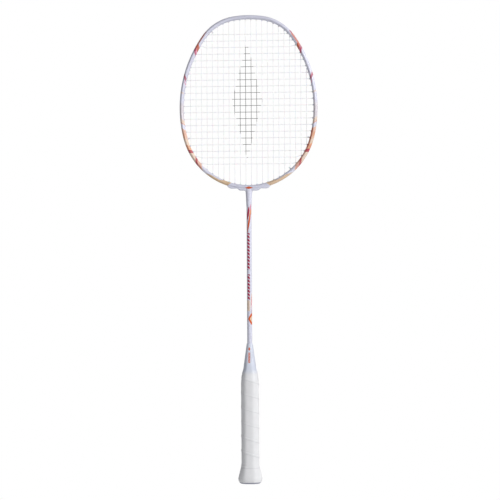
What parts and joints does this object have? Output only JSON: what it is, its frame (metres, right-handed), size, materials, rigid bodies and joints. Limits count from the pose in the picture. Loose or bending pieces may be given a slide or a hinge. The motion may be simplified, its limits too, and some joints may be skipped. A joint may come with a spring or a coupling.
{
  "type": "badminton racket",
  "caption": "Strung badminton racket with an oval graphite head, T-joint throat, slim straight shaft, cone cap and wrapped eight-sided handle.",
  "frame": {"origin": "middle of the flat base of the butt cap", "axes": "+Z along the racket from the butt to the crown of the head; the strings lie in the XZ plane and the front face looks along -Y; +X is to the right seen from the front"},
  "size_m": [0.1996, 0.0322, 0.675],
  "materials": {
    "frame_paint": "pearl lacquer over graphite, pale lavender white with orange, crimson and gold flashes",
    "yoke_paint": "pearl lavender lacquer",
    "shaft_paint": "glossy pale lavender lacquer over graphite",
    "core_nylon": "glass-filled nylon, moulded",
    "cone_plastic": "satin pale blue-grey plastic",
    "handle_wood": "plain light wood, sanded",
    "pin_steel": "plain steel",
    "butt_plastic": "satin bluish grey plastic",
    "medallion_plastic": "blank glossy disc",
    "underlay_film": "adhesive film",
    "grip_pu": "warm white polyurethane grip, matt, finely embossed",
    "finishing_tape": "thin white tape, satin",
    "string_nylon": "white multifilament nylon, coated",
    "grommet_nylon": "bluish white nylon"
  },
  "bodies": {
    "root": {"head_frame": "frame_paint", "throat_yoke": "yoke_paint", "t_joint_core": "core_nylon", "shaft": "shaft_paint", "cone_cap": "cone_plastic", "handle_core": "handle_wood", "handle_pin": "pin_steel", "butt_cap": "butt_plastic", "butt_medallion": "medallion_plastic", "grip_underlay": "underlay_film", "grip_wrap": "grip_pu", "finishing_tape": "finishing_tape", "grip_tack": "pin_steel", "main_string": "string_nylon", "cross_string": "string_nylon", "grommets_crown": "grommet_nylon", "grommets_throat": "grommet_nylon", "grommets_shoulder_left": "grommet_nylon", "grommets_shoulder_right": "grommet_nylon", "grommets_upper_side_left": "grommet_nylon", "grommets_upper_side_right": "grommet_nylon", "grommets_lower_side_left": "grommet_nylon", "grommets_lower_side_right": "grommet_nylon", "grommets_chin_left": "grommet_nylon", "grommets_chin_right": "grommet_nylon"}
  },
  "joints": []
}
